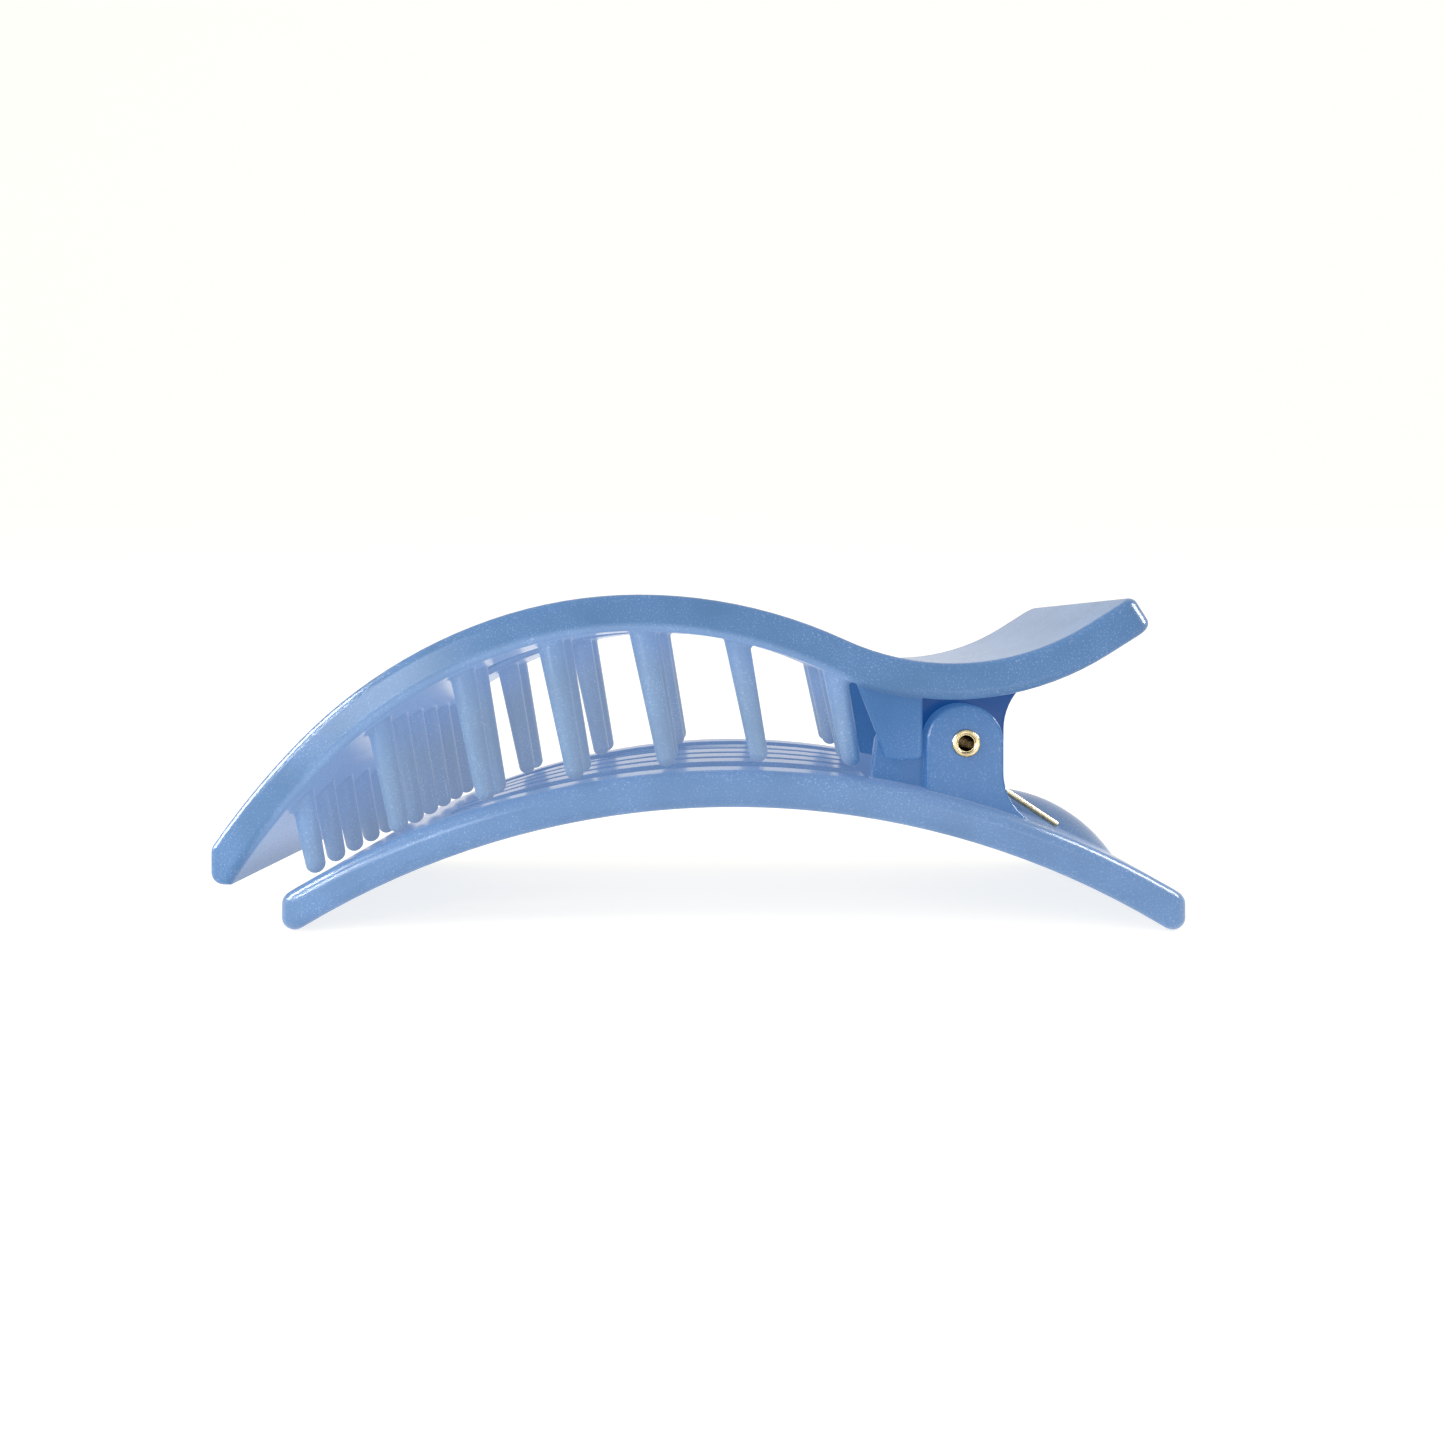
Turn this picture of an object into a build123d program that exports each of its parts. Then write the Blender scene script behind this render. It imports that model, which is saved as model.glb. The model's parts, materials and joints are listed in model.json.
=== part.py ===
from build123d import *
import os
from math import acos, asin, atan2, cos, degrees, radians, sin, sqrt

# Flat-lay beak clip, closed, standing on the two ends of its arched lower jaw.
# +X runs from the nose to the finger handles, +Z is up, and the XZ plane is the plane of symmetry.
# The origin lies under the middle of the whole clip, on the surface that it stands on.

# Whole clip
clip_width = 40.0           # both jaws
corner_round = 2.3          # plan corners of the thumb tab and of both ends of the lower jaw

# Lower jaw: an arched plate
lower_span = 103.3          # end to end
lower_radius = 94.9         # underside
lower_thickness = 4.25
lower_round = 1.4           # all its outer edges

# Grid of lengthwise bars in the lower jaw
grid_front_margin = 17.6    # front end of the jaw to the grid
grid_rear_margin = 0.5      # grid to the web in front of the ear
rail_width = 5.0            # solid strip along each side
rail_gap = 4.6              # open strip between a rail and the first bar
bar_count = 4
bar_slot = 1.4              # open slit between two bars
slot_corner = 0.6
bar_round = 0.3             # softened top edges of the open strips

# Domed pad on the lower handle, between the two spring legs
pad_radius = 17.8           # of the sphere that it is a cap of
pad_height = 2.5
pad_lead = 14.0             # hinge to the middle of the pad

# Upper jaw: a plate bent along tangent arcs, measured on its top face
upper_thickness = 4.15
upper_round = 1.0           # all its outer edges
crown_radius = 51.5         # front half of the crown
crown_turn_angle = 19.2
brow_radius = 56.0          # between the crown and the nose
brow_turn_angle = 26.5
nose_radius = 89.8
nose_turn_angle = 20.0      # runs past the nose, which is then cut upright
nose_run = 48.5             # crest to nose
nose_face = 4.2             # height of the nose's upright face
nose_round = 1.5            # its two corners in side view
rear_radius = 55.7          # rear half of the crown
rear_turn_angle = 24.8
dip_radius = 29.0           # hollow over the hinge
dip_turn_angle = 57.1
dip_lead = 1.67             # lowest point of the hollow to the hinge
dip_clearance = 0.58        # ear to the underside of the hollow
tab_flat = 6.2              # straight last stretch of the thumb tab

# Window in the upper jaw
window_front_run = 24.5     # crest to its front end
window_rear_run = 23.1      # crest to its rear end
window_width = 13.2
window_corner = 2.0
window_edge = 0.5           # softened rims, above and below

# Teeth: rows that stand on the arc of the lower jaw at equal angles
tooth_rows = 7
tooth_columns = 6
first_row_margin = 3.55     # front end of the lower jaw to the first row
last_row_margin = 13.1      # last row to the hinge
column_pitch = 6.3
tooth_lean_angle = 10.8     # the teeth and the window share this slope
tooth_tip_diameter = 2.2
tooth_taper_angle = 1.55    # half of the cone's angle
tooth_root = 0.4            # fillet where a tooth meets the plate
tip_clearance = 0.25        # tooth tip to the lower jaw
tip_rise = 0.8              # what the last row adds to it
touching_rows = 4           # rows that all but rest on the lower jaw
full_rows = 2               # rows that run right across the solid nose

# Hinge
hinge_x = 26.5              # from the middle of the lower jaw
hinge_rise = 6.62           # above the top face of the lower jaw
rivet_radius = 1.3
rivet_bore = 0.95           # radius of the hole through the rivet
rivet_lip = 0.3             # radius of the rolled lip at each end
seat_clearance = 0.02       # rivet in the ears
run_clearance = 0.05        # rivet in the lugs that turn on it

# Side plates of the hinge, from the outside in
ear_inset = 1.7             # side of the jaw to the ear
ear_thickness = 3.7
ear_radius = 4.4
ear_flare = 6.5             # concave run-out on to the handle
ear_edge = 0.3              # softened rim
web_thickness = 1.6         # thin wall in front of the ear
web_run = 10.8              # foot of its front edge to the hinge
web_rise = 0.9              # its top above the hinge
web_lean = 0.9              # how far that edge leans back
web_corner = 0.8
web_edge = 0.3              # softened rim
flap_inset = 1.8            # side of the jaw to the flap
flap_run = 8.9              # foot of its front edge to the hinge
flap_slope_angle = 22.9     # of its front edge, from upright
flap_drop = 2.0             # its bottom below the hinge
flap_corner = 0.8
flap_edge = 0.4             # softened rim
flap_clearance = 0.45       # flap to ear
side_clearance = 0.4        # between walls that pass each other
lug_thickness = 2.0
lug_radius = 5.5
lug_edge = 0.3              # softened rim
lug_upright = 1.2           # straight stretch of its rear edge above the hinge
lug_flare = 7.0             # concave run-out of that edge into the tab
lug_flare_angle = 52.0
sink = 1.6                  # how deep a wall or a tooth is rooted in its plate

# Spring: a coil at each side on the rivet, with a leg on the handle, and a yoke under the tab
wire_diameter = 0.8
coil_radius = 1.85          # to the middle of the wire
coil_turns = 4
coil_pitch = 0.75           # the turns bite into each other a little
coil_clearance = 0.3        # coil to lug
leg_slope_angle = -33.5     # of the legs on the handle
yoke_reach = 14.0           # length of the legs under the tab
yoke_bend = 1.6
yoke_clearance = 0.2        # coil to yoke
wire_clearance = 0.08       # wire to the plate that it presses on

near = 0.01                 # closer than this counts as the same place

# Places along the clip that follow from the sizes above, from the middle of the lower jaw
rear_angle = radians(rear_turn_angle)
crest_x = hinge_x - dip_lead - (rear_radius + dip_radius) * sin(rear_angle)
nose_x = crest_x - nose_run
clip_length = lower_span / 2 - nose_x
middle_x = clip_length / 2 - lower_span / 2
half_width = clip_width / 2

# Heights that follow from them
lower_top_radius = lower_radius + lower_thickness
lower_centre_z = lower_round - sqrt(
    (lower_radius + lower_round) ** 2 - (lower_span / 2 - lower_round) ** 2
)
lower_centre = Vector(middle_x, lower_centre_z)


def lower_top_z(x):
    # Height of the lower jaw's top face at a distance from its middle
    return lower_centre_z + sqrt(lower_top_radius ** 2 - x ** 2)


def angle_of(x):
    # Angle from upright, about the centre of the lower jaw's arc, at which its top face reaches x
    return asin(x / lower_top_radius)


hinge = Vector(middle_x + hinge_x, lower_top_z(hinge_x) + hinge_rise)
dip_under = hinge.Y + ear_radius + dip_clearance
crest_height = dip_under + upper_thickness + (rear_radius + dip_radius) * (1 - cos(rear_angle))
web_front = hinge_x - web_run
web_top = hinge.Y + web_rise
flap_bottom = hinge.Y - flap_drop
grid_front = grid_front_margin - lower_span / 2
grid_rear = web_front - grid_rear_margin
window_front = crest_x - window_front_run
window_rear = crest_x + window_rear_run
first_row_angle = angle_of(first_row_margin - lower_span / 2)
last_row_angle = angle_of(hinge_x - last_row_margin)

# Depths that follow from them
ear_outside = half_width - ear_inset
ear_inside = ear_outside - ear_thickness
web_outside = ear_inside + web_thickness
flap_outside = half_width - flap_inset
flap_inside = web_outside + side_clearance
lug_outside = ear_inside - side_clearance
lug_inside = lug_outside - lug_thickness
wire_radius = wire_diameter / 2
leg_y = lug_inside - coil_clearance - wire_radius
inner_turn_y = leg_y - (coil_turns - 1) * coil_pitch
yoke_y = inner_turn_y - wire_diameter - yoke_clearance


def wall(face, y_low, y_high):
    # Side-view face made into a wall between two depths
    return Pos(0, y_high, 0) * extrude(Plane.XZ * face, amount=y_high - y_low)


def across(face):
    return wall(face, -half_width, half_width)


def on_both_sides(solid):
    return [solid, mirror(solid, about=Plane.XZ)]


def softened_wall(face, y_low, y_high, radius):
    # Wall with both rims rounded
    solid = wall(face, y_low, y_high)
    sides = solid.faces().sort_by(Axis.Y)
    return fillet(sides[0].edges() + sides[-1].edges(), radius)


def hinge_bore(radius):
    return across(Pos(hinge.X, hinge.Y) * Circle(radius))


# Lower jaw

def lower_plate():
    ring = Circle(lower_top_radius) - Circle(lower_radius)
    span = Pos(0, lower_top_radius) * Rectangle(lower_span, 2 * lower_top_radius)
    plate = across(Pos(lower_centre) * (ring & span))
    corners = []
    for edge in plate.edges():
        here = edge.center()
        at_end = abs(abs(here.X - middle_x) - lower_span / 2) < near
        if at_end and abs(here.Y) > half_width - near:
            corners.append(edge)
    plate = fillet(corners, corner_round)
    arched = plate.faces().filter_by(GeomType.CYLINDER).sort_by(SortBy.AREA)[-2:]
    return fillet(arched[0].edges() + arched[1].edges(), lower_round)


def open_strips():
    # Open strips of the grid in plan, as pairs of middle and width
    bars_width = clip_width - 2 * (rail_width + rail_gap)
    bar_width = (bars_width - (bar_count - 1) * bar_slot) / bar_count
    rail_gap_y = half_width - rail_width - rail_gap / 2
    strips = [(-rail_gap_y, rail_gap), (rail_gap_y, rail_gap)]
    for n in range(1, bar_count):
        strips.append((n * (bar_width + bar_slot) - (bars_width + bar_slot) / 2, bar_slot))
    return strips


def lower_grid(plate):
    # Cuts the open strips and softens their top edges
    length = grid_rear - grid_front
    x = middle_x + (grid_front + grid_rear) / 2
    for y, width in open_strips():
        outline = RectangleRounded(length, width, slot_corner)
        plate -= Pos(x, y, 0) * extrude(outline, amount=crest_height)
    top = plate.faces().filter_by(GeomType.CYLINDER).sort_by(SortBy.AREA)[-1]
    rims = [edge for wire in top.inner_wires() for edge in wire.edges()]
    return fillet(rims, bar_round)


def ear_face():
    right = hinge.X + ear_radius
    left = hinge.X - ear_radius
    flare_x = right + ear_flare - middle_x
    flare_radius = lower_top_radius + ear_flare
    flare_z = lower_centre_z + sqrt(flare_radius ** 2 - flare_x ** 2)
    turn = 90 - degrees(asin(flare_x / flare_radius))
    foot = lower_top_z(left - middle_x) - sink
    over = JernArc((left, hinge.Y), (0, 1), ear_radius, -180)
    down = Line(over @ 1, (right, flare_z))
    flare = JernArc(down @ 1, (0, -1), ear_flare, turn)
    toe = Line(flare @ 1, (flare @ 1) - Vector(0, sink))
    under = Line(toe @ 1, (left, foot - sink))
    up = Line(under @ 1, over @ 0)
    return make_face(over + down + flare + toe + under + up)


def web_face():
    front = middle_x + web_front
    foot = lower_top_z(web_front) - sink
    outline = Polygon(
        (front, foot), (hinge.X, foot - sink), (hinge.X, web_top), (front + web_lean, web_top),
        align=None,
    )
    upper = outline.vertices().sort_by(Axis.Y)[-2:]
    return fillet(upper.sort_by(Axis.X)[0], web_corner)


def handle_pad():
    height = lower_top_radius + pad_height - pad_radius
    angle = angle_of(hinge_x + pad_lead)
    x = middle_x + height * sin(angle)
    ball = Pos(x, 0, lower_centre_z + height * cos(angle)) * Sphere(pad_radius)
    return ball - across(Pos(lower_centre) * Circle(lower_top_radius - sink / 2))


def lower_jaw():
    jaw = lower_grid(lower_plate())
    jaw += handle_pad()
    jaw += on_both_sides(softened_wall(web_face(), ear_inside, web_outside, web_edge))
    jaw += on_both_sides(softened_wall(ear_face(), ear_inside, ear_outside, ear_edge))
    return jaw - hinge_bore(rivet_radius + seat_clearance)


# Upper jaw

def upper_line(depth):
    # Bent line of the plate from the nose to the tab, sunk by a depth under its top face
    crest = (middle_x + crest_x, crest_height - depth)
    crown = JernArc(crest, (-1, 0), crown_radius - depth, crown_turn_angle)
    brow = JernArc(crown @ 1, crown % 1, brow_radius - depth, brow_turn_angle)
    nose = JernArc(brow @ 1, brow % 1, nose_radius - depth, nose_turn_angle)
    rear = JernArc(crest, (1, 0), rear_radius - depth, -rear_turn_angle)
    dip = JernArc(rear @ 1, rear % 1, dip_radius + depth, dip_turn_angle)
    tab = Line(dip @ 1, (dip @ 1) + (dip % 1) * tab_flat)
    return [crown, brow, nose, rear, dip, tab]


def upper_profile():
    top = upper_line(0)
    bottom = upper_line(upper_thickness)
    nose_end = Line(top[2] @ 1, bottom[2] @ 1)
    tab_end = Line(top[5] @ 1, bottom[5] @ 1)
    band = make_face(Curve() + top + bottom + [nose_end, tab_end])
    bow = top[2].arc_center
    nose_top = bow.Y + sqrt(nose_radius ** 2 - (bow.X - middle_x - nose_x) ** 2)
    room = Rectangle(2 * clip_length, clip_length, align=(Align.MIN, Align.MIN))
    return band & Pos(middle_x + nose_x, nose_top - nose_face) * room


def under_the_plate():
    # All that lies between the inside of the plate and the ground
    line = upper_line(sink)
    nose_foot = Line(line[2] @ 1, ((line[2] @ 1).X, 0))
    tab_foot = Line(line[5] @ 1, ((line[5] @ 1).X, 0))
    ground = Line(nose_foot @ 1, tab_foot @ 1)
    return make_face(Curve() + line + [nose_foot, tab_foot, ground])


def is_at(shape, x, z):
    # Whether something in the middle of the width lies at a place in side view
    here = shape.center()
    return abs(here.X - x) < near and abs(here.Z - z) < near


def is_straight(edge):
    return edge.geom_type == GeomType.LINE


def upper_plate():
    profile = upper_profile()
    nose = profile.vertices().sort_by(Axis.X)[:2]
    tab = profile.vertices().sort_by(Axis.X)[-2:]
    tab_x = (tab[0].X + tab[1].X) / 2
    tab_z = (tab[0].Y + tab[1].Y) / 2
    plate = across(profile)
    plate = fillet([edge for edge in plate.edges() if is_at(edge, tab_x, tab_z)], corner_round)
    nose_edges = []
    for edge in plate.edges():
        if abs(edge.center().Y) < near and any(is_at(edge, v.X, v.Y) for v in nose):
            nose_edges.append(edge)
    plate = fillet(nose_edges, nose_round)
    rim = []
    for face in plate.faces():
        if abs(face.normal_at().Y) > 0.5 or is_at(face, tab_x, tab_z):
            rim.append(face.edges())
    outline = []
    for edge in plate.edges():
        shared = sum(any(edge.is_same(other) for other in edges) for edges in rim)
        if shared == 1:
            outline.append(edge)
    return fillet(outline, upper_round)


def with_window(plate):
    # Cuts the window along the slope of the teeth and softens its rims
    outline = RectangleRounded(window_rear - window_front, window_width, window_corner)
    x = middle_x + (window_front + window_rear) / 2
    tool = extrude(outline, amount=crest_height, both=True)
    tool = Pos(x, 0, crest_height - upper_thickness) * Rot(0, -tooth_lean_angle, 0) * tool
    rims = []
    for edge in (plate - tool).edges():
        along_tool = abs(edge.tangent_at(0.5).X) < 0.5 and abs(edge.tangent_at(0.5).Y) < 0.5
        if tool.distance_to(edge.center()) < near and not along_tool:
            rims.append(edge)
    return fillet(rims, window_edge)


def tooth_gap(row):
    # Clearance under a row of teeth
    late = max(0, row - touching_rows + 1) / (tooth_rows - touching_rows)
    return tip_clearance + tip_rise * late ** 2


def tooth(row):
    # One tooth of a row in the middle of the width, longer than needed at its root
    angle = first_row_angle + (last_row_angle - first_row_angle) * row / (tooth_rows - 1)
    tip_radius = tooth_tip_diameter / 2
    reach = lower_top_radius + tooth_gap(row) + tip_radius
    root_radius = tip_radius + crest_height * sin(radians(tooth_taper_angle))
    shaft = Cone(tip_radius, root_radius, crest_height, align=(Align.CENTER, Align.CENTER, Align.MIN))
    place = Pos(middle_x + reach * sin(angle), 0, lower_centre_z + reach * cos(angle))
    return place * Rot(0, -tooth_lean_angle, 0) * (shaft + Sphere(tip_radius))


def teeth():
    room = across(under_the_plate())
    comb = []
    for row in range(tooth_rows):
        trimmed = tooth(row) & room
        for column in range(tooth_columns):
            y = (column - (tooth_columns - 1) / 2) * column_pitch
            if row < full_rows or abs(y) > window_width / 2:
                comb.append(Pos(0, y, 0) * trimmed)
    return comb


def flap_face():
    rear = hinge.X - ear_radius - flap_clearance
    front = hinge.X - flap_run
    height = crest_height - flap_bottom
    outline = Polygon(
        (front, flap_bottom), (rear, flap_bottom), (rear, crest_height),
        (front - height * sin(radians(flap_slope_angle)), crest_height),
        align=None,
    )
    low = outline.vertices().sort_by(Axis.Y)[:2]
    return fillet(low, flap_corner) & under_the_plate()


def lug_face():
    front = hinge.X - lug_radius
    rear = hinge.X + lug_radius
    under = JernArc((front, hinge.Y), (0, -1), lug_radius, 180)
    upright = Line(under @ 1, (rear, hinge.Y + lug_upright))
    flare = JernArc(upright @ 1, (0, 1), lug_flare, -lug_flare_angle)
    rise = Line(flare @ 1, ((flare @ 1).X, crest_height))
    over = Line(rise @ 1, (front, crest_height))
    down = Line(over @ 1, under @ 0)
    return make_face(under + upright + flare + rise + over + down) & under_the_plate()


def with_teeth(plate):
    # Adds the teeth with a fillet round each root
    jaw = plate + teeth()
    roots = []
    for shaft in jaw.faces().filter_by(GeomType.CONE):
        middle = shaft.center().Z
        roots += [edge for edge in shaft.edges() if edge.center().Z > middle and not is_straight(edge)]
    return fillet(roots, tooth_root)


def upper_jaw():
    jaw = with_teeth(with_window(upper_plate()))
    jaw += on_both_sides(softened_wall(flap_face(), flap_inside, flap_outside, flap_edge))
    jaw += on_both_sides(softened_wall(lug_face(), lug_inside, lug_outside, lug_edge))
    return jaw - hinge_bore(rivet_radius + run_clearance)


# Rivet

def hinge_rivet():
    end = ear_outside + rivet_lip
    tube = wall(Pos(hinge) * (Circle(rivet_radius) - Circle(rivet_bore)), -end, end)
    for side in (-1, 1):
        tube += Pos(hinge.X, side * end, hinge.Y) * Rot(90, 0, 0) * Torus(rivet_radius, rivet_lip)
    return tube


# Spring

def straight_wire(start, end):
    direction = end - start
    place = Plane(origin=start, z_dir=direction)
    return extrude(place * Circle(wire_radius), amount=direction.length)


def spring_coil(side):
    # Closed turns side by side, and the leg that comes off their underside down on to the handle
    slope = radians(leg_slope_angle)
    along = Vector(cos(slope), sin(slope))
    start = hinge + Vector(sin(slope), -cos(slope)) * coil_radius
    touch = lower_top_radius + wire_radius + wire_clearance
    offset = start - lower_centre
    run = offset.dot(along)
    end = start + along * (-run - sqrt(run ** 2 - offset.length ** 2 + touch ** 2))
    start -= along * wire_radius
    y = side * leg_y
    leg = straight_wire(Vector(start.X, y, start.Y), Vector(end.X, y, end.Y))
    leg += Pos(end.X, y, end.Y) * Sphere(wire_radius)
    turn = Pos(hinge.X, y, hinge.Y) * Rot(90, 0, 0) * Torus(coil_radius, wire_radius)
    coil = turn
    for n in range(1, coil_turns):
        coil += Pos(0, -side * n * coil_pitch, 0) * turn
    return coil + leg


def yoke_slope():
    # Slope at which the wire just runs along the underside of the hollow over the hinge
    dip = upper_line(0)[4]
    to_centre = dip.arc_center - hinge
    apart = dip_radius + upper_thickness + wire_clearance + wire_radius + coil_radius
    return atan2(-to_centre.X, to_centre.Y) + acos(apart / to_centre.length)


def spring_yoke():
    slope = yoke_slope()
    start = hinge + Vector(-sin(slope), cos(slope)) * coil_radius
    end = start + Vector(cos(slope), sin(slope)) * yoke_reach
    near_end = Vector(start.X, -yoke_y, start.Y)
    near_corner = Vector(end.X, -yoke_y, end.Y)
    far_corner = Vector(end.X, yoke_y, end.Y)
    far_end = Vector(start.X, yoke_y, start.Y)
    path = FilletPolyline(near_end, near_corner, far_corner, far_end, radius=yoke_bend)
    profile = Plane(origin=path @ 0, z_dir=path % 0) * Circle(wire_radius)
    return sweep(profile, path=path)


solids = {
    "lower_jaw": lower_jaw(),
    "upper_jaw": upper_jaw(),
    "hinge_rivet": hinge_rivet(),
    "spring_coil_left": spring_coil(-1),
    "spring_coil_right": spring_coil(1),
    "spring_yoke": spring_yoke(),
}

os.makedirs("parts", exist_ok=True)
for name, solid in solids.items():
    export_step(solid, "parts/" + name + ".step")
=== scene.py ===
import bpy
import json
from math import atan2, cos, pi, radians, sin
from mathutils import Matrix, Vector


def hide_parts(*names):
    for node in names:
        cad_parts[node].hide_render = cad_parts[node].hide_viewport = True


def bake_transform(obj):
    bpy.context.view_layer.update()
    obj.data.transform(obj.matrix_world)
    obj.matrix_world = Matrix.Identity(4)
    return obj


# Closed flat-lay beak clip of pearl blue plastic on a white studio floor.
# Metres, +X to the finger handles, +Z up, the hinge rivet along Y.

mm = 0.001


def linearColour(hexCode):
    # sRGB hex to the linear values that the shader wants
    def toLinear(value):
        return value / 12.92 if value <= 0.04045 else ((value + 0.055) / 1.055) ** 2.4
    parts = [int(hexCode[n:n + 2], 16) / 255 for n in (1, 3, 5)]
    return tuple(toLinear(part) for part in parts) + (1.0,)


def addNode(tree, kind, values=None, links=None, **settings):
    # sockets go by name or number: a colour Mix has its factor on 0, its two colours on 6 and 7, its result on 2
    node = tree.nodes.new(kind)
    for name, value in settings.items():
        setattr(node, name, value)
    for name, value in (values or {}).items():
        node.inputs[name].default_value = value
    for name, source in (links or {}).items():
        tree.links.new(source, node.inputs[name])
    return node


def newMaterial(name):
    material = bpy.data.materials.new(name)
    material.use_nodes = True
    tree = material.node_tree
    tree.nodes.clear()
    return material, tree


def giveMaterial(thing, material):
    thing.data.materials.clear()
    thing.data.materials.append(material)


def deselectAll():
    bpy.ops.object.select_all(action='DESELECT')


def makeActive(thing):
    deselectAll()
    thing.select_set(True)
    bpy.context.view_layer.objects.active = thing


def applyPlace(thing):
    # object to the origin, its place kept in the mesh
    makeActive(thing)
    bpy.ops.object.transform_apply(location=True, rotation=True, scale=True)


def applyModifiers(thing):
    makeActive(thing)
    for modifier in list(thing.modifiers):
        bpy.ops.object.modifier_apply(modifier=modifier.name)


def selectVertices(thing, wanted):
    # edit mode with just the vertices for which wanted(place) is true
    makeActive(thing)
    bpy.ops.object.mode_set(mode='EDIT')
    bpy.ops.mesh.select_mode(type='VERT')
    bpy.ops.mesh.select_all(action='DESELECT')
    bpy.ops.object.mode_set(mode='OBJECT')
    for vertex in thing.data.vertices:
        vertex.select = bool(wanted(vertex.co))
    bpy.ops.object.mode_set(mode='EDIT')


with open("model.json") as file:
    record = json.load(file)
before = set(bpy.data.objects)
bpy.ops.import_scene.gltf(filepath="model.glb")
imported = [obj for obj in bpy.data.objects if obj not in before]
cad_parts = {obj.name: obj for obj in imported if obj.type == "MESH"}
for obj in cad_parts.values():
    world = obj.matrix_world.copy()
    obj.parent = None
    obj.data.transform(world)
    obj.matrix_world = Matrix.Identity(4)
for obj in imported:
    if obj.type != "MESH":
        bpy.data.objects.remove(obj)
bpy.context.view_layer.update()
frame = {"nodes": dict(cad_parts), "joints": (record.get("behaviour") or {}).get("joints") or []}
nodes = frame["nodes"]
hinge = Vector(frame["joints"][0]["pos_m"])
print("frame loaded:", len(nodes), "nodes")


pearlPlastic = {
    "colour": "#34536F",            # blue pigment, as the surface alone gives it back
    "paleColour": "#4A6B92",        # where the pearl pigment gathers
    "paleShare": 0.5,
    "cloudSize": 7.0 * mm,          # drift of the pigment as the melt flowed
    "flakeColour": "#C4D4EA",       # single pearl flakes
    "flakeShare": 0.34,             # how much they show where the pigment gathers
    "flakeThin": 0.2,               # and what is left of that elsewhere
    "flakeFrom": 0.57,              # part of the grain that is flake
    "flakeTo": 0.7,
    "grainSize": 0.2 * mm,          # coarse enough to show, the real flakes are finer
    "grainHeight": 0.009 * mm,
    "edgeRound": 0.3 * mm,
    "roughness": 0.32,
    "roughSpread": 0.14,
    "ior": 1.53,                    # of ABS
    "specular": 0.05,               # low, because the skin below gives the gloss
    "skin": 0.33,                   # clear skin over the pigment, from the polished mould
    "skinRoughness": 0.12,
    "translucency": 0.15,
    "depth": 1.0 * mm,              # how far light wanders near the surface
    "depthByColour": (0.8, 1.0, 1.3),
}

# Painted glow: emission colours chosen by place stand in for light passing through the plastic and for the floor's
# light from below; the hinge plates get painted shade.
paintedGlowAndShade = {
    "upperGlow": "#405A81",         # painted glow standing in for light that wanders through the upper jaw
    "lowerGlow": "#5C7196",         # brighter painted glow, for light through the lower jaw and from the white floor below
    "underGlow": "#7389AE",         # painted glow on the underside of the crown, for light that comes through the plate
    "toothGlow": "#75859E",         # painted glow for light through the thin teeth
    "hingeGlow": "#31598A",         # dimmer painted glow on the plates of the hinge, which the jaws keep in shade
    "lugGlow": "#0C3D74",           # dimmer still, on the innermost of them, which get the least light
    "hingeShadeColour": "#0D2C5C",       # painted shade: the surface colour there, darkened
    "plateShade": 0.35,             # how much of that painted shade the outer plates take
    "crownCentre": (-6.93 * mm, 0.0, -15.45 * mm),      # middle of the crown's arc, in side view
    "underFrom": 50.8 * mm,         # the crown's underside, from there
    "underTo": 49.9 * mm,
    "toothFrom": 49.2 * mm,         # roots of the teeth
    "toothTo": 43.5 * mm,
    "teethEnd": 17.5 * mm,          # behind the last row
    "archCentre": (3.77 * mm, 0.0, -80.75 * mm),        # middle of the lower jaw's arc
    "archRadius": 99.3 * mm,        # its top
    "dipCentre": (28.6 * mm, 0.0, 59.54 * mm),          # middle of the hollow over the hinge
    "dipRadius": 33.3 * mm,
    "hingeEnd": 42.0 * mm,
    "hingeDepth": 10.0 * mm,        # the hinge's plates stand further out than this
    "lugDepth": 14.4 * mm,          # and the innermost of them end here
    "lugBlend": 0.2 * mm,
}


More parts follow.
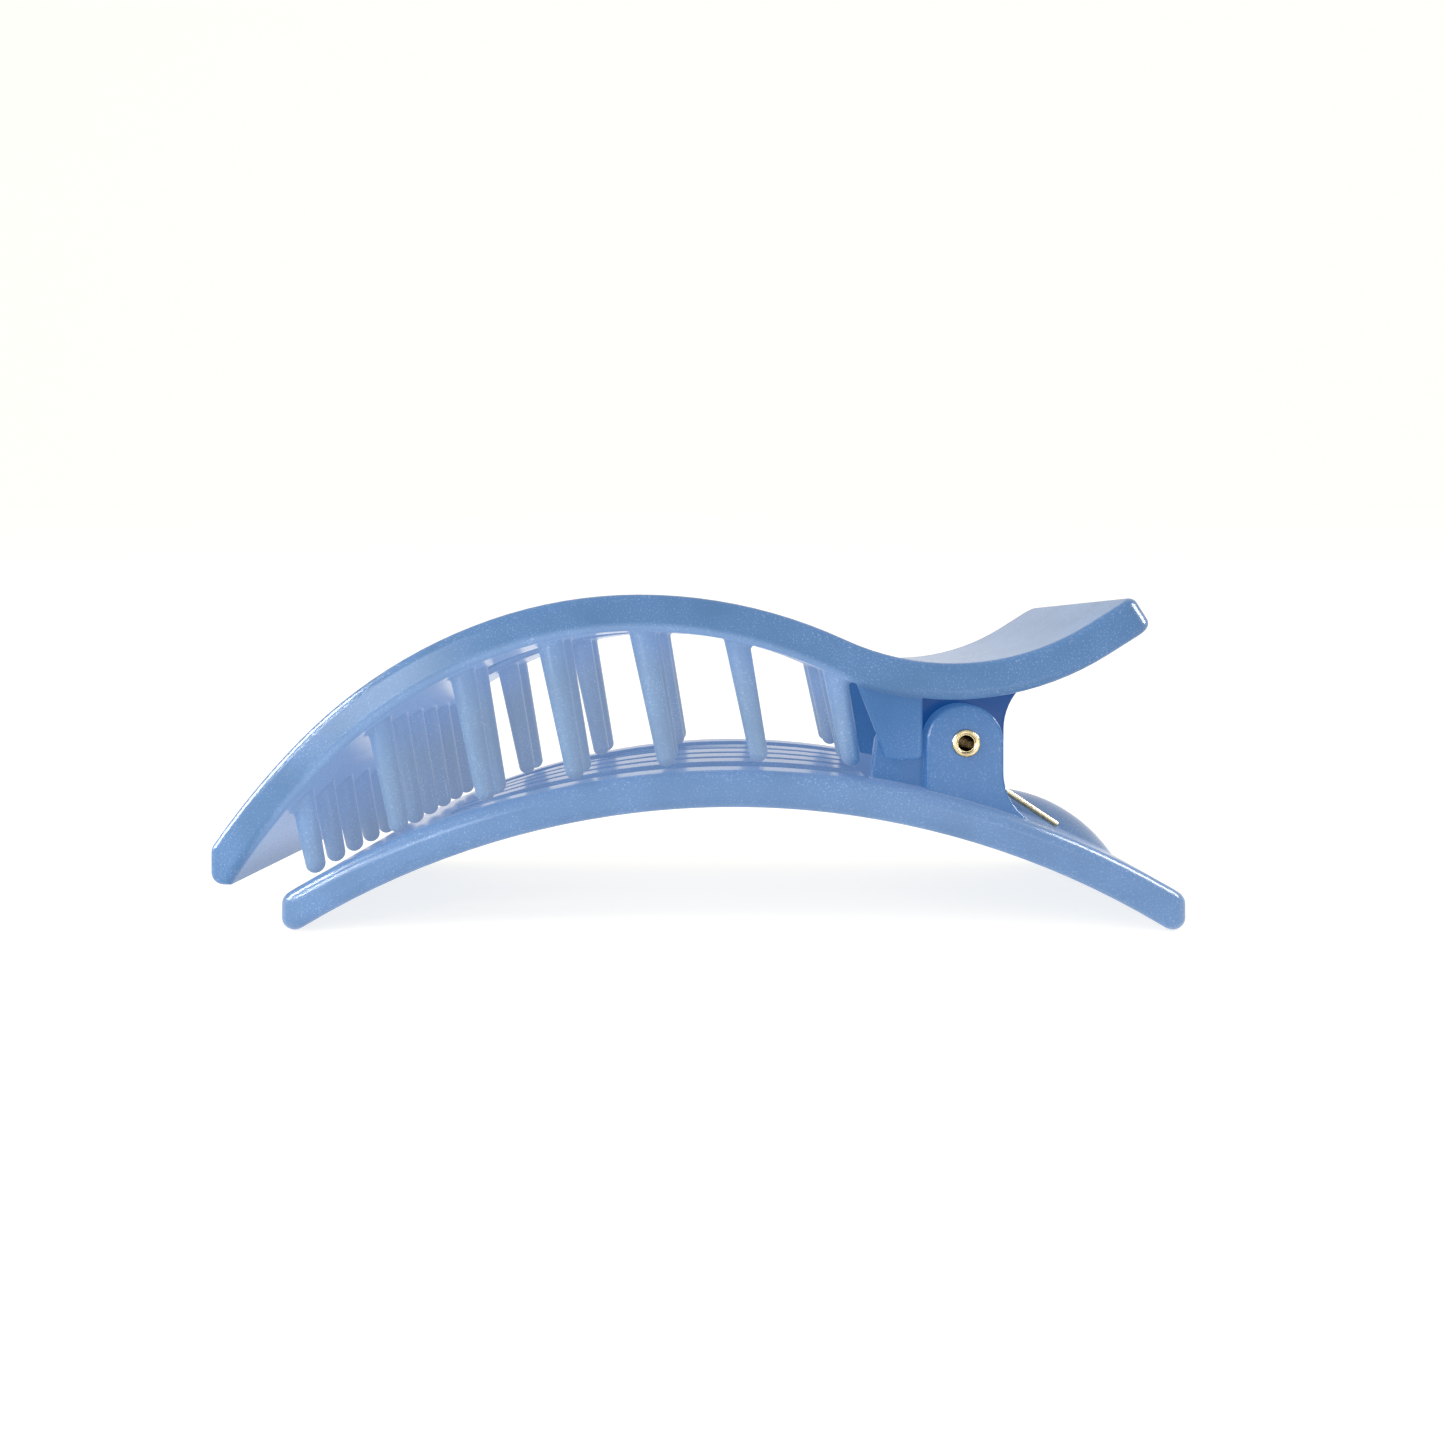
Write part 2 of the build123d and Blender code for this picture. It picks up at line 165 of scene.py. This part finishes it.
def addPaintedGlowAndShade(tree, place, look):
    # Gives back a painted glow, chosen by place, that stands in for the light inside the plastic, and painted shade:
    # how far the surface is darkened in the hinge.
    # In side view the jaws follow three arcs, so the distance from the arcs' middles tells the parts apart.
    side = addNode(tree, "ShaderNodeVectorMath", {1: (1.0, 0.0, 1.0)}, {0: place}, operation='MULTIPLY')
    fromCrown, fromArch, fromDip = [
        addNode(tree, "ShaderNodeVectorMath", {1: look[middle]}, {0: side.outputs[0]}, operation='DISTANCE')
        for middle in ("crownCentre", "archCentre", "dipCentre")]
    parts = addNode(tree, "ShaderNodeSeparateXYZ", links={0: place})
    out = addNode(tree, "ShaderNodeMath", links={0: parts.outputs["Y"]}, operation='ABSOLUTE')
    above = addNode(tree, "ShaderNodeMath", {1: look["archRadius"]}, {0: fromArch.outputs["Value"]},
                    operation='GREATER_THAN')
    behind = addNode(tree, "ShaderNodeMapRange",
                     {"From Min": look["teethEnd"] - mm, "From Max": look["teethEnd"] + mm},
                     {"Value": parts.outputs["X"]})

    # painted glow of the upper and lower jaw, then of the crown's underside and the teeth
    glow = addNode(tree, "ShaderNodeMix",
                   {6: linearColour(look["lowerGlow"]), 7: linearColour(look["upperGlow"])},
                   {0: above.outputs[0]}, data_type='RGBA')
    before = addNode(tree, "ShaderNodeMath", {0: 1.0}, {1: behind.outputs[0]}, operation='SUBTRACT')
    crown = addNode(tree, "ShaderNodeMath", links={0: before.outputs[0], 1: above.outputs[0]}, operation='MULTIPLY')
    for part in ("under", "tooth"):
        inward = addNode(tree, "ShaderNodeMapRange", {"From Min": look[part + "From"], "From Max": look[part + "To"]},
                         {"Value": fromCrown.outputs["Value"]}, interpolation_type='SMOOTHSTEP')
        share = addNode(tree, "ShaderNodeMath", links={0: inward.outputs[0], 1: crown.outputs[0]},
                        operation='MULTIPLY')
        glow = addNode(tree, "ShaderNodeMix", {7: linearColour(look[part + "Glow"])},
                       {0: share.outputs[0], 6: glow.outputs[2]}, data_type='RGBA')

    # the plates of the hinge, with dimmer painted glow and painted shade: above the lower jaw, under the hollow, near
    # the sides
    hinged = addNode(tree, "ShaderNodeMath", links={0: behind.outputs[0], 1: above.outputs[0]}, operation='MULTIPLY')
    for source, limit, kind in ((fromDip.outputs["Value"], look["dipRadius"], 'GREATER_THAN'),
                                (out.outputs[0], look["hingeDepth"], 'GREATER_THAN'),
                                (parts.outputs["X"], look["hingeEnd"], 'LESS_THAN')):
        test = addNode(tree, "ShaderNodeMath", {1: limit}, {0: source}, operation=kind)
        hinged = addNode(tree, "ShaderNodeMath", links={0: hinged.outputs[0], 1: test.outputs[0]},
                         operation='MULTIPLY')
    inner = addNode(tree, "ShaderNodeMapRange",
                    {"From Min": look["lugDepth"] + look["lugBlend"], "From Max": look["lugDepth"]},
                    {"Value": out.outputs[0]})
    plates = addNode(tree, "ShaderNodeMix",
                     {6: linearColour(look["hingeGlow"]), 7: linearColour(look["lugGlow"])},
                     {0: inner.outputs[0]}, data_type='RGBA')
    glow = addNode(tree, "ShaderNodeMix",
                   links={0: hinged.outputs[0], 6: glow.outputs[2], 7: plates.outputs[2]}, data_type='RGBA')
    # painted shade: how far the surface colour is darkened, most on the innermost plates
    shade = addNode(tree, "ShaderNodeMapRange", {"To Min": look["plateShade"]}, {"Value": inner.outputs[0]})
    paintedShade = addNode(tree, "ShaderNodeMath", links={0: hinged.outputs[0], 1: shade.outputs[0]}, operation='MULTIPLY')
    return glow.outputs[2], paintedShade.outputs[0]


def makePearlPlastic(name, look, light):
    # Injection-moulded ABS with pearl pigment: glossy, cloudy and translucent,
    # with a fine grain that breaks the highlights into small sparks.
    # Its translucency is partly painted light: a glow chosen by place, and painted shade in the hinge.
    material, tree = newMaterial(name)
    place = addNode(tree, "ShaderNodeTexCoord").outputs["Object"]
    cloud = addNode(tree, "ShaderNodeTexNoise", {"Scale": 1 / look["cloudSize"], "Detail": 3.0, "Roughness": 0.55},
                    {"Vector": place})
    grain = addNode(tree, "ShaderNodeTexNoise", {"Scale": 1 / look["grainSize"], "Detail": 2.0, "Roughness": 0.6},
                    {"Vector": place})

    # pigment: a drift of paler blue, and single flakes where it gathers
    pale = addNode(tree, "ShaderNodeMapRange", {"From Min": 0.3, "From Max": 0.7, "To Max": look["paleShare"]},
                   {"Value": cloud.outputs["Fac"]})
    tint = addNode(tree, "ShaderNodeMix", {6: linearColour(look["colour"]), 7: linearColour(look["paleColour"])},
                   {0: pale.outputs[0]}, data_type='RGBA')
    spread = addNode(tree, "ShaderNodeMapRange",
                     {"From Min": 0.3, "From Max": 0.7, "To Min": look["flakeThin"] * look["flakeShare"],
                      "To Max": look["flakeShare"]}, {"Value": cloud.outputs["Fac"]})
    flake = addNode(tree, "ShaderNodeMapRange", {"From Min": look["flakeFrom"], "From Max": look["flakeTo"]},
                    {"Value": grain.outputs["Fac"]})
    flakes = addNode(tree, "ShaderNodeMath", links={0: flake.outputs[0], 1: spread.outputs[0]}, operation='MULTIPLY')
    tint = addNode(tree, "ShaderNodeMix", {7: linearColour(look["flakeColour"])},
                   {0: flakes.outputs[0], 6: tint.outputs[2]}, data_type='RGBA')
    # painted glow chosen by place, and painted shade that darkens the surface in the hinge
    glow, paintedShade = addPaintedGlowAndShade(tree, place, light)
    tint = addNode(tree, "ShaderNodeMix", {7: linearColour(light["hingeShadeColour"])},
                   {0: paintedShade, 6: tint.outputs[2]}, data_type='RGBA')

    rough = addNode(tree, "ShaderNodeMapRange",
                    {"From Min": 0.35, "From Max": 0.65, "To Min": look["roughness"] - look["roughSpread"] / 2,
                     "To Max": look["roughness"] + look["roughSpread"] / 2}, {"Value": grain.outputs["Fac"]})
    soft = addNode(tree, "ShaderNodeBevel", {"Radius": look["edgeRound"]}, samples=4)
    bump = addNode(tree, "ShaderNodeBump", {"Strength": 1.0, "Distance": look["grainHeight"]},
                   {"Height": grain.outputs["Fac"], "Normal": soft.outputs[0]})
    shader = addNode(tree, "ShaderNodeBsdfPrincipled", {
        "IOR": look["ior"],
        "Specular IOR Level": look["specular"],
        "Subsurface Weight": look["translucency"],
        "Subsurface Radius": look["depthByColour"],
        "Subsurface Scale": look["depth"],
        "Coat Weight": look["skin"],
        "Coat Roughness": look["skinRoughness"],
        "Emission Strength": 1.0,
    }, {
        "Base Color": tint.outputs[2],
        "Roughness": rough.outputs[0],
        "Normal": bump.outputs[0],
        "Coat Normal": bump.outputs[0],
        "Emission Color": glow,
    })
    addNode(tree, "ShaderNodeOutputMaterial", links={"Surface": shader.outputs[0]})
    return material


goldPlate = {
    "colour": "#CFC09A",
    "wornColour": "#94866A",    # duller patches
    "wornShare": 0.7,
    "patchSize": 0.8333 * mm,
    "markSize": 0.25 * mm,      # marks left by drawing and rolling, the real ones are finer
    "markHeight": 0.002 * mm,
    "smoothest": 0.14,
    "roughest": 0.32,
}


def makeGoldPlate(name, look):
    # Pale gold plating on drawn brass and steel: bright metal with faint drawing marks and duller patches
    material, tree = newMaterial(name)
    place = addNode(tree, "ShaderNodeTexCoord").outputs["Object"]
    marks = addNode(tree, "ShaderNodeTexNoise", {"Scale": 1 / look["markSize"], "Detail": 3.0}, {"Vector": place})
    patches = addNode(tree, "ShaderNodeTexNoise", {"Scale": 1 / look["patchSize"], "Detail": 2.0}, {"Vector": place})
    wear = addNode(tree, "ShaderNodeMapRange", {"From Min": 0.45, "From Max": 0.75, "To Max": look["wornShare"]},
                   {"Value": patches.outputs["Fac"]})
    tint = addNode(tree, "ShaderNodeMix", {6: linearColour(look["colour"]), 7: linearColour(look["wornColour"])},
                   {0: wear.outputs[0]}, data_type='RGBA')
    rough = addNode(tree, "ShaderNodeMapRange",
                    {"From Min": 0.3, "From Max": 0.7, "To Min": look["smoothest"], "To Max": look["roughest"]},
                    {"Value": marks.outputs["Fac"]})
    bump = addNode(tree, "ShaderNodeBump", {"Strength": 1.0, "Distance": look["markHeight"]},
                   {"Height": marks.outputs["Fac"]})
    shader = addNode(tree, "ShaderNodeBsdfPrincipled", {"Metallic": 1.0}, {
        "Base Color": tint.outputs[2],
        "Roughness": rough.outputs[0],
        "Normal": bump.outputs[0],
    })
    addNode(tree, "ShaderNodeOutputMaterial", links={"Surface": shader.outputs[0]})
    return material


jawMaterial = makePearlPlastic("pearlPlastic", pearlPlastic, paintedGlowAndShade)
goldMaterial = makeGoldPlate("goldPlate", goldPlate)
for name in ("lower_jaw", "upper_jaw"):
    giveMaterial(nodes[name], jawMaterial)
giveMaterial(nodes["hinge_rivet"], goldMaterial)
print("materials made")


# Torsion spring: one wire, wound as a coil at each side and joined by the yoke.
# Depths are from the middle of the clip, slopes in degrees up from +X.
spring = {
    "wireRadius": 0.39 * mm,
    "coilRadius": 1.85 * mm,
    "coilDepth": 11.5 * mm,     # outer end of the coil, with the leg on the handle
    "yokeDepth": 8.25 * mm,     # inner end, with the arm of the yoke
    "legSlope": -33.5,
    "legLength": 16.3 * mm,
    "legEndRound": 0.12 * mm,
    "yokeSlope": 24.1,
    "yokeReach": 14.0 * mm,
    "yokeBend": 1.6 * mm,
    "yokeBendSteps": 8,
    "yokeGap": 0.01 * mm,       # of each half to the middle of the clip
    "turns": 3,
    "stepsPerTurn": 28,
    "sides": 14,
    "ringSlack": 0.03 * mm,     # when the vertices of one ring are picked
    "screwSense": 1,            # with no window, Screw turns with this sign
    "spinSense": -1,            # and Spin with this one
}


def ringAt(centre, along, look):
    # picks the ring of wire vertices round one point
    slack = look["ringSlack"]
    return lambda place: (abs((place - centre).dot(along)) < slack
                          and (place - centre).length < look["wireRadius"] + slack)


def drawOut(wire, centre, along, length, look):
    # a straight run of wire from an open end; gives back where it ends
    selectVertices(wire, ringAt(centre, along, look))
    bpy.ops.mesh.extrude_region_move(TRANSFORM_OT_translate={"value": along * length})
    bpy.ops.object.mode_set(mode='OBJECT')
    return centre + along * length


def closeEnd(wire, centre, along, rounding, look):
    selectVertices(wire, ringAt(centre, along, look))
    bpy.ops.mesh.edge_face_add()
    if rounding:
        bpy.ops.mesh.bevel(offset=rounding, segments=2, affect='EDGES')
    bpy.ops.object.mode_set(mode='OBJECT')


def makeSpringHalf(look):
    # where each end of the coil lies on its circle, so that leg and yoke leave it straight on
    legSlope = radians(look["legSlope"])
    yokeSlope = radians(look["yokeSlope"])
    startAngle = atan2(-cos(legSlope), sin(legSlope))
    endAngle = atan2(cos(yokeSlope), -sin(yokeSlope))
    sweep = (startAngle - endAngle) % (2 * pi) + 2 * pi * look["turns"]
    legStart = hinge + Vector((cos(startAngle) * look["coilRadius"], -look["coilDepth"],
                               sin(startAngle) * look["coilRadius"]))
    yokeStart = hinge + Vector((cos(endAngle) * look["coilRadius"], -look["yokeDepth"],
                                sin(endAngle) * look["coilRadius"]))
    downLeg = Vector((cos(legSlope), 0, sin(legSlope)))
    upYoke = Vector((cos(yokeSlope), 0, sin(yokeSlope)))
    across = Vector((0, 1, 0))

    # coil: a ring swept round the rivet with Screw
    deselectAll()
    bpy.ops.mesh.primitive_circle_add(vertices=look["sides"], radius=look["wireRadius"], location=legStart,
                                      rotation=(0, pi - startAngle, 0))
    wire = bpy.context.object
    wire.name = "spring_left"
    applyPlace(wire)
    bpy.context.scene.cursor.location = hinge
    bpy.ops.object.origin_set(type='ORIGIN_CURSOR')
    screw = wire.modifiers.new("coil", 'SCREW')
    screw.axis = 'Y'
    screw.angle = look["screwSense"] * sweep
    screw.screw_offset = look["coilDepth"] - look["yokeDepth"]
    screw.steps = screw.render_steps = round(look["stepsPerTurn"] * sweep / (2 * pi))
    applyModifiers(wire)
    applyPlace(wire)

    # leg on the handle
    legEnd = drawOut(wire, legStart, downLeg, look["legLength"], look)
    closeEnd(wire, legEnd, downLeg, look["legEndRound"], look)

    # arm of the yoke, its bend, and half of the bar between the two arms
    bendStart = drawOut(wire, yokeStart, upYoke, look["yokeReach"] - look["yokeBend"], look)
    selectVertices(wire, ringAt(bendStart, upYoke, look))
    bend = across * look["yokeBend"]
    bpy.ops.mesh.spin(steps=look["yokeBendSteps"], angle=look["spinSense"] * pi / 2, center=bendStart + bend,
                      axis=upYoke.cross(bend).normalized())
    bpy.ops.object.mode_set(mode='OBJECT')
    bendEnd = bendStart + bend + upYoke * look["yokeBend"]
    halfBar = look["yokeDepth"] - look["yokeBend"] - look["yokeGap"]
    middle = drawOut(wire, bendEnd, across, halfBar, look)
    closeEnd(wire, middle, across, 0, look)

    selectVertices(wire, lambda place: True)
    bpy.ops.mesh.remove_doubles(threshold=0.005 * mm)
    bpy.ops.mesh.normals_make_consistent(inside=False)
    bpy.ops.object.mode_set(mode='OBJECT')
    bpy.ops.object.shade_smooth_by_angle(angle=radians(40))
    return wire


def mirrorHalf(half, name):
    makeActive(half)
    bpy.ops.object.duplicate()
    other = bpy.context.object
    other.name = name
    other.scale.y = -1
    applyPlace(other)
    selectVertices(other, lambda place: True)
    bpy.ops.mesh.normals_make_consistent(inside=False)
    bpy.ops.object.mode_set(mode='OBJECT')
    return other


springLeft = makeSpringHalf(spring)
springRight = mirrorHalf(springLeft, "spring_right")
for wire, side in ((springLeft, -1), (springRight, 1)):
    giveMaterial(wire, goldMaterial)
    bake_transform(wire)    # the wire's place kept in its mesh
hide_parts("spring_coil_left", "spring_yoke")
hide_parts("spring_coil_right")
print("spring made")


backdrop = {
    "colour": "#ADA9A0",        # what the paper gives back: low, so that shadows stay faint
    "glowColour": "#FFFDF9",    # light that it carries in itself, as a lit table does
    "floorGlow": 0.75,
    "wallGlow": 0.64,           # from dimHeight up
    "dimHeight": 0.15,
    "roughness": 0.9,
    "specular": 0.1,
    "grainSize": 2.5 * mm,      # fibres in clumps, single ones are finer
    "grainHeight": 0.1 * mm,
    "grainStrength": 0.1,
    "floorSize": 3.0,
    "backDistance": 0.9,
    "wallHeight": 2.0,
    "sweepRadius": 0.5,
}


def makeWhitePaper(name, look):
    # Seamless background paper: matte and even, without a shine
    material, tree = newMaterial(name)
    place = addNode(tree, "ShaderNodeTexCoord").outputs["Object"]
    grain = addNode(tree, "ShaderNodeTexNoise", {"Scale": 1 / look["grainSize"], "Detail": 2.0}, {"Vector": place})
    bump = addNode(tree, "ShaderNodeBump", {"Strength": look["grainStrength"], "Distance": look["grainHeight"]},
                   {"Height": grain.outputs["Fac"]})
    parts = addNode(tree, "ShaderNodeSeparateXYZ", links={0: place})
    dim = addNode(tree, "ShaderNodeMapRange",
                  {"From Max": look["dimHeight"], "To Min": look["floorGlow"], "To Max": look["wallGlow"]},
                  {"Value": parts.outputs["Z"]})
    shader = addNode(tree, "ShaderNodeBsdfPrincipled", {
        "Base Color": linearColour(look["colour"]),
        "Roughness": look["roughness"],
        "Specular IOR Level": look["specular"],
        "Emission Color": linearColour(look["glowColour"]),
    }, {"Normal": bump.outputs[0], "Emission Strength": dim.outputs[0]})
    addNode(tree, "ShaderNodeOutputMaterial", links={"Surface": shader.outputs[0]})
    return material


def makeBackdrop(look):
    # floor and back wall of one sheet, the edge between them bevelled into a sweep
    deselectAll()
    bpy.ops.mesh.primitive_plane_add(size=look["floorSize"],
                                     location=(0, look["backDistance"] - look["floorSize"] / 2, 0))
    sheet = bpy.context.object
    sheet.name = "studio_floor"
    applyPlace(sheet)
    backEdge = look["backDistance"] - 10 * mm
    selectVertices(sheet, lambda place: place.y > backEdge)
    bpy.ops.mesh.extrude_region_move(TRANSFORM_OT_translate={"value": (0, 0, look["wallHeight"])})
    bpy.ops.object.mode_set(mode='OBJECT')
    selectVertices(sheet, lambda place: place.y > backEdge and place.z < 10 * mm)
    bpy.ops.mesh.bevel(offset=look["sweepRadius"], segments=16, affect='EDGES')
    bpy.ops.object.mode_set(mode='OBJECT')
    bpy.ops.object.shade_smooth()
    giveMaterial(sheet, makeWhitePaper("whitePaper", look))


makeBackdrop(backdrop)


# Place, target and size in metres and power in watts, then whether the box lights the surfaces
# and whether it is mirrored in them: some only fill, others only give a highlight.
softboxes = {
    "fillLeft": ((-0.085, -0.07, 0.012), (-0.048, -0.02, 0.008), (0.03, 0.02), 0.02, True, False),
    "fillAbove": ((-0.3, -0.2, 0.3), (-0.03, 0, 0.02), (0.3, 0.25), 0.9, True, False),
    "cardFront": ((-0.125, -0.25, 0.03), (-0.03, -0.02, 0.015), (0.06, 0.06), 0.16, False, True),
    "cardRight": ((0.06, -0.105, 0.009), (0.036, -0.02, 0.014), (0.035, 0.016), 0.006, False, True),
    "stripLeft": ((-0.37, -0.075, 0.15), (-0.045, -0.02, 0.015), (0.14, 0.2), 5.0, False, True),
    "stripFront": ((-0.26, -0.29, 0.09), (-0.045, -0.02, 0.015), (0.05, 0.08), 0.8, False, True),
    "stripRight": ((0.42, -0.02, 0.26), (0.05, -0.02, 0.02), (0.14, 0.26), 4.5, False, True),
}
roomLight = 0.95        # of the white room all round


def makeSoftbox(name, place, target, size, power, lights, shines):
    deselectAll()
    bpy.ops.object.light_add(type='AREA', location=place)
    box = bpy.context.object
    box.name = name
    box.data.shape = 'RECTANGLE'
    box.data.size, box.data.size_y = size
    box.data.energy = power
    box.rotation_mode = 'QUATERNION'
    box.rotation_quaternion = (Vector(target) - Vector(place)).to_track_quat('-Z', 'Y')
    box.visible_camera = False
    box.visible_diffuse = lights
    box.visible_glossy = shines


for name, settings in softboxes.items():
    makeSoftbox(name, *settings)

world = bpy.data.worlds.new("studioRoom")
bpy.context.scene.world = world
world.use_nodes = True
room = world.node_tree.nodes["Background"]
room.inputs["Color"].default_value = linearColour("#FFFFFF")
room.inputs["Strength"].default_value = roomLight
bpy.context.scene.view_settings.view_transform = 'Standard'     # colours as they are given
print("studio made")


# Camera where the photograph's was: level, looking along +Y, 117 mm in front of the near side
camera = {
    "place": (3.13 * mm, -136.9 * mm, 33.18 * mm),
    "lens": 25.87,              # millimetres, as is the sensor
    "sensor": 36,
    "shift": (-0.0038, -0.0571),
    "nearest": 5 * mm,
    "farthest": 20.0,
}
deselectAll()
bpy.ops.object.camera_add(location=camera["place"], rotation=(pi / 2, 0, 0))
viewer = bpy.context.object
viewer.name = "photoCamera"
viewer.data.lens = camera["lens"]
viewer.data.sensor_width = camera["sensor"]
viewer.data.shift_x, viewer.data.shift_y = camera["shift"]
viewer.data.clip_start = camera["nearest"]
viewer.data.clip_end = camera["farthest"]
bpy.context.scene.camera = viewer
print("camera made")
